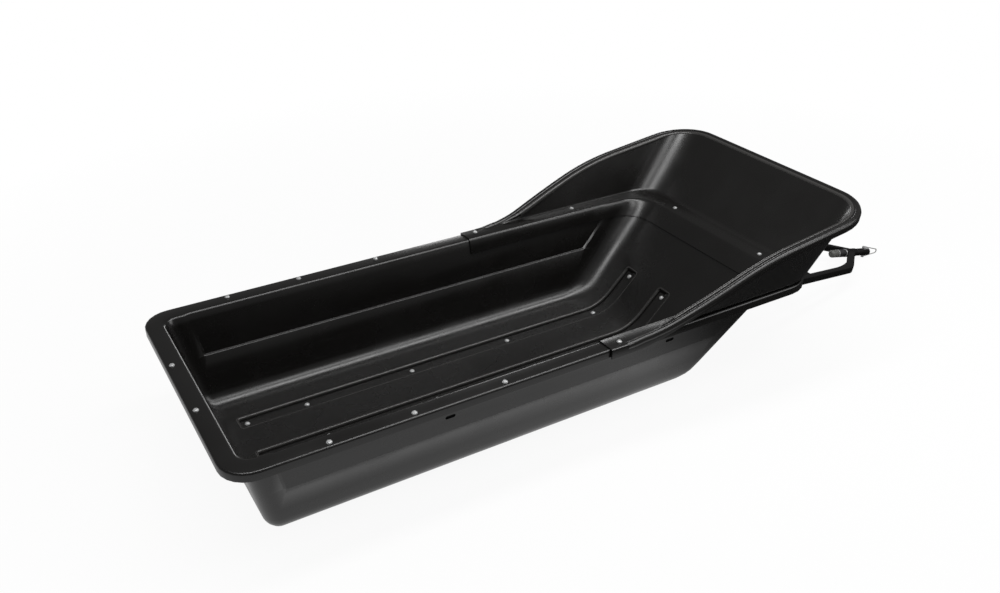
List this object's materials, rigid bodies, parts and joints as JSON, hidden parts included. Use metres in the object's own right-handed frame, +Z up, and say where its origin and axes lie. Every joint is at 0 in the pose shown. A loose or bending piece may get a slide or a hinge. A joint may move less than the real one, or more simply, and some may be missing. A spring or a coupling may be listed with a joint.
{
  "type": "towed snow sled",
  "caption": "Moulded tub sled with a raised bow cowl, floor runners, a hinged A-shaped steel tongue and a cushioned swivel coupler.",
  "frame": {"origin": "centre of the overall bounding box at ground level", "axes": "+X forward towards the hitch, +Y left, +Z up"},
  "size_m": [2.8926, 0.984, 0.5586],
  "materials": {
    "tub_plastic": "satin",
    "cowl_plastic": "satin",
    "runner_plastic": "satin",
    "tongue_steel": "satin",
    "bracket_steel": "satin",
    "zinc_steel": "satin",
    "cushion_rubber": "matte",
    "cap_grey": "satin"
  },
  "bodies": {
    "sled": {"tub": "tub_plastic", "cowl": "cowl_plastic", "runner_left": "runner_plastic", "runner_centre": "runner_plastic", "runner_right": "runner_plastic", "bracket_left": "bracket_steel", "bracket_right": "bracket_steel", "hinge_bolt_left": "zinc_steel", "hinge_bolt_right": "zinc_steel"},
    "tongue": {"arm_left": "tongue_steel", "arm_right": "tongue_steel", "cross_brace": "tongue_steel", "swivel_sleeve": "tongue_steel"},
    "coupler": {"swivel_shaft": "zinc_steel", "cushion": "cushion_rubber", "end_cap": "cap_grey", "washer_front": "zinc_steel", "washer_rear": "zinc_steel", "coupler_tube": "tongue_steel", "hitch_pin": "zinc_steel", "lock_wire": "zinc_steel"}
  },
  "joints": [
    {"name": "tongue_pitch", "type": "hinge", "parent": "sled", "child": "tongue", "pos_m": [0.4091, 0, 0.2249], "axis": [0, 1, 0], "range_deg": [-36, 120]},
    {"name": "coupler_swivel", "type": "hinge", "parent": "tongue", "child": "coupler", "pos_m": [1.2725, 0, 0.0449], "axis": [0.979, 0, -0.2041], "continuous": true}
  ]
}
